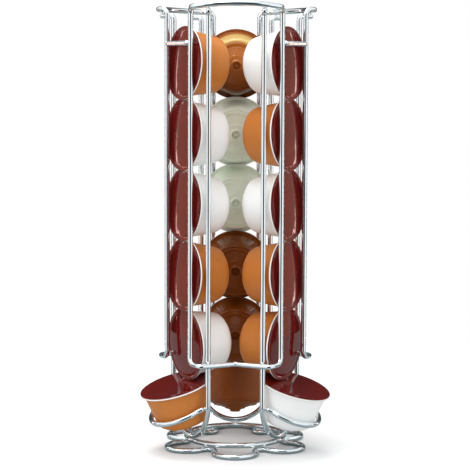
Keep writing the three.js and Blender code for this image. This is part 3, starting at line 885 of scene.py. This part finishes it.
def rounded_profile(corners):
    """Each (radius, height, fillet) corner becomes the arc that touches both its edges."""
    points = np.array([(radius, 0, height) for radius, height, _ in corners], float)
    rounded = [points[:1]]
    for index in range(1, len(corners) - 1):
        fillet = corners[index][2]
        if fillet == 0:
            rounded.append(points[index : index + 1])
            continue
        before, corner, after = points[index - 1 : index + 2]
        arriving = unit(corner - before)
        leaving = unit(after - corner)
        turn = math.acos(float(np.clip(arriving @ leaving, -1, 1)))
        start = corner - arriving * fillet * math.tan(turn / 2)
        inward = unit(leaving - arriving * (leaving @ arriving))
        rounded.append(arc(start + inward * fillet, -inward, arriving, fillet, 0, turn, FILLET_POINTS))
    rounded.append(points[-1:])
    return np.concatenate(rounded)[:, [0, 2]]


def revolved(profile):
    """(radius cos turn, radius sin turn, height) for every profile point and every turn."""
    turn = np.linspace(0, 2 * math.pi, CAPSULE_SIDES, endpoint=False)[None, :]
    radius = profile[:, 0][:, None]
    height = np.broadcast_to(profile[:, 1][:, None], (len(profile), CAPSULE_SIDES))
    return np.stack([radius * np.cos(turn), radius * np.sin(turn), height], axis=-1)


# %% The cup
HOLE_RADIUS = 2.8 * MM
HOLE_DEPTH = 2.2 * MM
PIN_RADIUS = 1 * MM
PIN_DEPTH = 0.2 * MM
COLLAR_RADIUS = 8.2 * MM
COLLAR_RISE = 0.7 * MM
POLE_RADIUS = 0.05 * MM
FLOOR_RING = 0.9 * MM
FOOT_POINTS = 14
SEAL_HEIGHT = 0.25 * MM


def foot_curve():
    """A quadratic curve from the wall to the floor, pulled towards where the two would meet."""
    slope = (SHOULDER_RADIUS - FOOT_RADIUS) / (CUP_DEPTH - FOOT_ROUND - RIM_THICKNESS)
    wall = np.array([FOOT_RADIUS, FOOT_ROUND - CUP_DEPTH])
    meeting = np.array([FOOT_RADIUS - slope * FOOT_ROUND, -CUP_DEPTH])
    floor = np.array([STEP_RADIUS + FLOOR_RING, -CUP_DEPTH])
    share = np.linspace(0, 1, FOOT_POINTS)[::-1, None]
    points = (1 - share) ** 2 * wall + 2 * share * (1 - share) * meeting + share**2 * floor
    return [(radius, height, 0) for radius, height in points]


def cup_profile():
    """The outside of the cup from the nozzle's hole to the rim, then down the inside to its floor."""
    cone_slope = (CONE_DEPTH - CUP_DEPTH - STEP_DEPTH) / (CONE_RADIUS - NOZZLE_RADIUS)
    collar_depth = CUP_DEPTH + STEP_DEPTH + (CONE_RADIUS - COLLAR_RADIUS) * cone_slope
    corners = [
        (POLE_RADIUS, PIN_DEPTH - NOZZLE_DEPTH, 0),
        (PIN_RADIUS, PIN_DEPTH - NOZZLE_DEPTH, 0.8 * MM),
        (PIN_RADIUS + 0.2 * MM, HOLE_DEPTH - NOZZLE_DEPTH, 0.2 * MM),
        (HOLE_RADIUS, HOLE_DEPTH - NOZZLE_DEPTH, 0.3 * MM),
        (HOLE_RADIUS + 0.3 * MM, -NOZZLE_DEPTH, 0.4 * MM),
        (NOZZLE_RADIUS - 0.9 * MM, -NOZZLE_DEPTH, 0.4 * MM),
        (NOZZLE_RADIUS, -CONE_DEPTH - 0.3 * MM, 0.8 * MM),
        (COLLAR_RADIUS - 0.3 * MM, -collar_depth - COLLAR_RISE, 0.2 * MM),
        (COLLAR_RADIUS, -collar_depth, 0.4 * MM),
        (CONE_RADIUS - 0.5 * MM, -CUP_DEPTH - STEP_DEPTH - 0.35 * MM, 0.4 * MM),
        (CONE_RADIUS, -CUP_DEPTH - STEP_DEPTH, 0.3 * MM),
        (STEP_RADIUS, -CUP_DEPTH - STEP_DEPTH, 0.6 * MM),
        (STEP_RADIUS + 0.2 * MM, -CUP_DEPTH, 0.4 * MM),
        *foot_curve(),
        (SHOULDER_RADIUS, -RIM_THICKNESS, 0.5 * MM),
        (RIM_RADIUS - 0.1 * MM, -RIM_THICKNESS, 0.25 * MM),
        (RIM_RADIUS - 0.1 * MM, SEAL_HEIGHT - RIM_THICKNESS, 0.2 * MM),
        (SHOULDER_RADIUS - CUP_WALL, SEAL_HEIGHT - RIM_THICKNESS, 0.3 * MM),
        (FOOT_RADIUS - CUP_WALL, FOOT_ROUND - CUP_DEPTH, 1 * MM),
        (STEP_RADIUS, CUP_WALL - CUP_DEPTH, 1 * MM),
        (POLE_RADIUS, CUP_WALL - CONE_DEPTH, 0),
    ]
    return rounded_profile(corners)


cup_grid = revolved(cup_profile())
print("cup grid:", cup_grid.shape)


# %% [markdown]
# The lid's film is welded to the rim as a pale ring, and the foil over it domes a little, because the
# capsule is filled under a slight pressure. Foil that domes gathers small radial wrinkles where it
# leaves the flat band of the weld. They are in the mesh: waves round the edge that fade inward. The
# lid of a served capsule is dented a little instead, because the stack stands on it.

# %% The seal and the lid
BAND_WIDTH = 2.7 * MM
DOME_FULLNESS = 0.8
BAND_GROOVE = 0.12 * MM
GROOVE_WIDTH = 0.5 * MM
WRINKLE_COUNTS = (5, 9, 14, 23, 31)
WRINKLE_HEIGHT = 0.035 * MM
WRINKLE_REACH = 5 * MM
EDGE_ROUND = 0.12 * MM
SEAL_PLAY = 0.02 * MM
SEAL_ROUND = 0.2 * MM
LID_ROWS = 60
DENT_ROWS = 12


def seal_profile():
    """A band on the rim, as tall as the film's edge shows."""
    low = SEAL_HEIGHT - RIM_THICKNESS + SEAL_PLAY
    high = LID_LOW - SEAL_PLAY
    inner = SHOULDER_RADIUS - CUP_WALL + SEAL_ROUND
    outer = [(RIM_RADIUS, low, SEAL_ROUND), (RIM_RADIUS, high, SEAL_ROUND)]
    return rounded_profile([(inner, low, 0), *outer, (inner, high, 0)])


def lid_height(radius, dented):
    """A flat band. Inside it is a dent of depth 1 - share^2, or a groove and a dome.

    The share is the radius as a part of the dent's or the dome's, and the dome rises by
    (1 - share^2) to the power of its fullness.
    """
    if dented:
        return LID_TOP - LID_DENT * (1 - np.clip(radius / DENT_RADIUS, 0, 1) ** 2)
    dome_radius = RIM_RADIUS - BAND_WIDTH
    share = np.clip(radius / dome_radius, 0, 1)
    dome = LID_DOME * (1 - share**2) ** DOME_FULLNESS
    groove = BAND_GROOVE * np.exp(-(((radius - dome_radius) / GROOVE_WIDTH) ** 2))
    return LID_TOP + dome - groove


def lid_grid(seed, dented):
    """From the pole of the underside round the edge to the pole of the top.

    The top is (radius cos turn, radius sin turn, height), and its wrinkles are cosine waves round
    the edge that fade inwards as exp(-distance / reach).
    """
    rows = np.linspace(0, 1, LID_ROWS)[:, None]
    radius = POLE_RADIUS + (RIM_RADIUS - EDGE_ROUND - POLE_RADIUS) * np.sqrt(rows)
    turn = np.linspace(0, 2 * math.pi, CAPSULE_SIDES, endpoint=False)[None, :]
    random = np.random.default_rng(seed)
    waves = np.zeros_like(turn)
    for count in WRINKLE_COUNTS:
        waves = waves + random.uniform(0.3, 1) * np.cos(count * turn + random.uniform(0, 2 * math.pi))
    inside = RIM_RADIUS - BAND_WIDTH - radius
    fade = np.where(inside > 0, np.exp(-inside / WRINKLE_REACH), np.exp(3 * inside / BAND_WIDTH))
    fade = fade * (radius / RIM_RADIUS) ** 3
    height = lid_height(radius, dented) + WRINKLE_HEIGHT * waves * fade
    top = np.stack([radius * np.cos(turn), radius * np.sin(turn), height], axis=-1)
    edge = [(RIM_RADIUS, LID_LOW + LID_THICKNESS / 2), (RIM_RADIUS - EDGE_ROUND, LID_LOW)]
    if dented:
        share = np.linspace(1, 0, DENT_ROWS)
        depth = LID_DENT * (1 - share**2)
        edge += list(zip(DENT_RADIUS * share + POLE_RADIUS, LID_LOW - depth))
    else:
        edge.append((POLE_RADIUS, LID_LOW))
    under = revolved(np.array(edge))
    return np.concatenate([under[::-1], top[::-1]])


# %% [markdown]
# ## Loading the columns
# Each capsule is tipped a few degrees so that its lid looks slightly up, and the lowest leans the
# other way on the served one.

# %% Capsules in their columns
CUPS = {
    "left": ("white", "orange", "white", "white", "orange"),
    "right": ("orange", "orange", "white", "orange", "white"),
    # The top rear cup has painted light and shade in its colour.
    "rear": ("brown", "brown", "cream", "cream", PAINTED_LIGHT_CUP),
}
# The rear served cup is brown with painted light: a paler copy of the brown.
SERVED_CUPS = {"left": "orange", "right": "white", "rear": "brown_painted_lit"}
COLUMN_SEEDS = 10
SERVED_SEED = 7


def stood(grid, radial, height, tip, degrees):
    """A capsule's grid, with its axis laid towards the viewer, tipped, moved out and turned."""
    out = np.array([0, -math.cos(tip), math.sin(tip)])
    up = np.cross(out, SIDEWAYS)
    points = grid @ np.stack([SIDEWAYS, up, out])
    return in_frame(turned(points + place(radial, 0, height), degrees))


def add_capsule(name, colour, stand, seed, dented=False):
    """A cup, the seal on its rim and the foil lid. The stand is (radial, height, tip, degrees)."""
    slot = f"{SLOT_COLOURS.get(colour, colour)}_cup"
    cup = surface(f"{name}_cup_moulding", stood(cup_grid, *stand))
    settle(cup, name, slot, plastics[colour], f"{name}_cup")
    seal = surface(f"{name}_seal", stood(seal_grid, *stand), True)
    settle(seal, name, slot, seal_film)
    lid = surface(f"{name}_foil", stood(lid_grid(seed, dented), *stand))
    settle(lid, name, "foil_lid", foil, f"{name}_lid")


seal_grid = revolved(seal_profile())
for order, (column, degrees) in enumerate(COLUMNS.items()):
    first_seed = COLUMN_SEEDS * order
    for level, colour in enumerate(CUPS[column]):
        radial = STACK_RADIAL - LOWEST_SETBACK if level == 0 else STACK_RADIAL
        tip = LOWEST_TIP if level == 0 else STACK_TIP
        stand = (radial, LOWEST_HEIGHT + level * STACK_PITCH, tip, degrees)
        add_capsule(f"{column}_capsule_{level + 1}", colour, stand, first_seed + level)
    stand = (SERVED_RADIAL, SERVED_HEIGHT, SERVED_TIP, degrees)
    served_seed = first_seed + SERVED_SEED
    add_capsule(f"{column}_served_capsule", SERVED_CUPS[column], stand, served_seed, dented=True)

# %% [markdown]
# ## The studio
# Chrome and lacquer show the room, so the room is designed, and only mirrored rays see it. The half
# towards the camera is white, but for dark cards that draw the dark line down every upright wire. To
# the left and right, a little behind the tower, stand flats with thin lit edges and dark gaps beside
# them, which the lids mirror. Matt surfaces are lit by a plain soft tent and two softboxes instead.

# %% The room
TENT_BY_HEIGHT = [(0.45, 0.75), (0.52, 1.28), (0.9, 1)]
ROOM_BY_AZIMUTH = [
    (0, (1, 1.03, 1.05)),
    (78, (1, 1.03, 1.05)),
    (94, (0.5, 0.56, 0.57)),
    (97, (0.45, 0.5, 0.51)),
    (98, (0.03, 0.03, 0.03)),
    (115.4, (0.03, 0.03, 0.03)),
    (115.6, (0.08, 0.16, 0.14)),
    (116.4, (0.08, 0.16, 0.14)),
    (116.7, (0.66, 0.46, 0.36)),
    (125.2, (0.7, 0.5, 0.4)),
    (126, (0.02, 0.02, 0.02)),
    (140, (0.03, 0.035, 0.035)),
    (150, (0.1, 0.13, 0.14)),
    (180, (0.2, 0.25, 0.26)),
]
LIT_EDGES = [(100.8, 101.8, (6, 5, 5)), (124.5, 125.8, (7, 4.6, 4.3))]
EDGE_SOFTNESS = 0.05
CARD_DARK = (0.015, 0.02, 0.022)
LOW_CARD = {"half_angle": 26, "softness": 2, "foot": (-0.45, -0.4), "head": (-0.01, -0.03)}
HIGH_CARD = {"half_angle": 21, "softness": 1, "foot": (-0.06, -0.04), "head": (0.5, 0.4)}
OVERHEAD_BEHIND = (0.06, 0.065, 0.065)
OVERHEAD_FRONT = (0.9, 0.96, 1)
OVERHEAD_TURNS = (0.5, 0.8)
OVERHEAD_STARTS = (0.22, 0.32)
UNDERFOOT = (0.12, 0.16, 0.17)
UNDERFOOT_STARTS = (-0.3, -0.42)


def add_step(nodes, links, value, low, high):
    """A smooth step from 0 at low to 1 at high."""
    step = nodes.new("ShaderNodeMapRange")
    step.interpolation_type = "SMOOTHSTEP"
    step.inputs["From Min"].default_value = low
    step.inputs["From Max"].default_value = high
    links.new(value, step.inputs["Value"])
    return step.outputs["Result"]


def add_lit_edge(nodes, links, share, first, last):
    """1 between two azimuths in degrees and 0 beside them, with soft sides."""
    rises = ((first - EDGE_SOFTNESS) / 180, (first + EDGE_SOFTNESS) / 180)
    falls = ((last + EDGE_SOFTNESS) / 180, (last - EDGE_SOFTNESS) / 180)
    rise = add_step(nodes, links, share, *rises)
    return add_math(nodes, links, "MULTIPLY", rise, add_step(nodes, links, share, *falls))


def add_card(nodes, links, share, up, half_angle, softness, foot, head):
    """1 on a card behind the camera and 0 off it. Its foot and head are heights on a unit sphere."""
    sides = ((half_angle + softness) / 180, (half_angle - softness) / 180)
    card = add_step(nodes, links, share, *sides)
    card = add_math(nodes, links, "MULTIPLY", card, add_step(nodes, links, up, *foot))
    return add_math(nodes, links, "MULTIPLY", card, add_step(nodes, links, up, *head))


def add_world():
    """The camera sees white, glossy rays see the room, and all other rays see the tent."""
    world = bpy.data.worlds.new("studio")
    bpy.context.scene.world = world
    world.use_nodes = True
    nodes, links = world.node_tree.nodes, world.node_tree.links
    coordinates = nodes.new("ShaderNodeTexCoord")
    parts = nodes.new("ShaderNodeSeparateXYZ")
    links.new(coordinates.outputs["Generated"], parts.inputs["Vector"])
    across, along, up = parts.outputs
    aside = add_math(nodes, links, "ABSOLUTE", across)
    forward = add_math(nodes, links, "MULTIPLY", along, -1)
    azimuth = add_math(nodes, links, "ARCTAN2", aside, forward)
    share = add_math(nodes, links, "DIVIDE", azimuth, math.pi)
    stops = [(degrees / 180, colour) for degrees, colour in ROOM_BY_AZIMUTH]
    room = add_ramp(nodes, links, share, stops)
    for first, last, colour in LIT_EDGES:
        room = mixed(nodes, links, add_lit_edge(nodes, links, share, first, last), room, colour)
    behind = add_step(nodes, links, along, *OVERHEAD_TURNS)
    overhead = mixed(nodes, links, behind, OVERHEAD_FRONT, OVERHEAD_BEHIND)
    room = mixed(nodes, links, add_step(nodes, links, up, *OVERHEAD_STARTS), room, overhead)
    room = mixed(nodes, links, add_step(nodes, links, up, *UNDERFOOT_STARTS), room, UNDERFOOT)
    low, high = (add_card(nodes, links, share, up, **card) for card in (LOW_CARD, HIGH_CARD))
    room = mixed(nodes, links, add_math(nodes, links, "MAXIMUM", low, high), room, CARD_DARK)
    height = add_step(nodes, links, up, -1, 1)
    tent = add_ramp(nodes, links, height, [(spot, (level,) * 3) for spot, level in TENT_BY_HEIGHT])
    path = nodes.new("ShaderNodeLightPath")
    seen = mixed(nodes, links, path.outputs["Is Glossy Ray"], tent, room)
    seen = mixed(nodes, links, path.outputs["Is Camera Ray"], seen, (1, 1, 1))
    links.new(seen, nodes["Background"].inputs["Color"])


add_world()


# %% Lamps
MIDDLE = np.array([TOWER_AXIS[0], TOWER_AXIS[1], 0.17])
SOFTBOXES = {
    "front_softbox": {"position": (-0.45, -0.55, 1.35), "width": 1.4, "height": 1, "radiance": 1.6},
    "top_softbox": {"position": (-0.2, 0.25, 1.5), "width": 0.8, "height": 0.6, "radiance": 7},
}


def add_lamp(name, position, width, height, radiance):
    """A flat lamp aimed at the tower's middle. Its power is radiance * pi * area."""
    data = bpy.data.lights.new(name, "AREA")
    data.shape = "RECTANGLE"
    data.size = width
    data.size_y = height
    data.energy = radiance * math.pi * width * height
    lamp = bpy.data.objects.new(name, data)
    bpy.context.scene.collection.objects.link(lamp)
    lamp.location = position
    across, along, up = MIDDLE - np.array(position)
    lamp.rotation_euler = (math.atan2(math.hypot(across, along), -up), 0, math.atan2(-across, along))


for softbox, settings in SOFTBOXES.items():
    add_lamp(softbox, **settings)
print("lamps:", list(SOFTBOXES))

# %% [markdown]
# The floor is pale and matt and keeps a soft shadow. It has three colours: the camera sees the palest
# one, the wires mirror a darker one, and a middle one throws light back on the tower from below.

# %% Floor
FLOOR_SIDE = 0.45
FLOOR_FRONT = -0.15
FLOOR_BACK = 0.45
FLOOR_COLOUR = (0.58, 0.6, 0.6)
FLOOR_MIRRORED = (0.27, 0.32, 0.33)
FLOOR_SEEN = (0.79, 0.795, 0.8)
FLOOR_GLOW = 0.02
FLOOR_ROUGHNESS = 0.9
FLOOR_SHINE = 0.1


def add_floor():
    """A flat floor whose colour depends on the kind of ray that meets it."""
    mesh = bpy.data.meshes.new("floor")
    front = [(-FLOOR_SIDE, FLOOR_FRONT, 0), (FLOOR_SIDE, FLOOR_FRONT, 0)]
    back = [(FLOOR_SIDE, FLOOR_BACK, 0), (-FLOOR_SIDE, FLOOR_BACK, 0)]
    mesh.from_pydata(front + back, [], [(0, 1, 2, 3)])
    floor = bpy.data.objects.new("floor", mesh)
    bpy.context.scene.collection.objects.link(floor)
    material, nodes, links, shader = new_material("pale_floor")
    path = nodes.new("ShaderNodeLightPath")
    seen = path.outputs["Is Camera Ray"]
    colour = mixed(nodes, links, path.outputs["Is Glossy Ray"], FLOOR_COLOUR, FLOOR_MIRRORED)
    links.new(mixed(nodes, links, seen, colour, FLOOR_SEEN), shader.inputs["Base Color"])
    shader.inputs["Roughness"].default_value = FLOOR_ROUGHNESS
    shader.inputs["Specular IOR Level"].default_value = FLOOR_SHINE
    shader.inputs["Emission Color"].default_value = (1, 1, 1, 1)
    links.new(add_math(nodes, links, "MULTIPLY", seen, FLOOR_GLOW), shader.inputs["Emission Strength"])
    mesh.materials.append(material)


add_floor()
bpy.context.scene.view_settings.view_transform = "Standard"
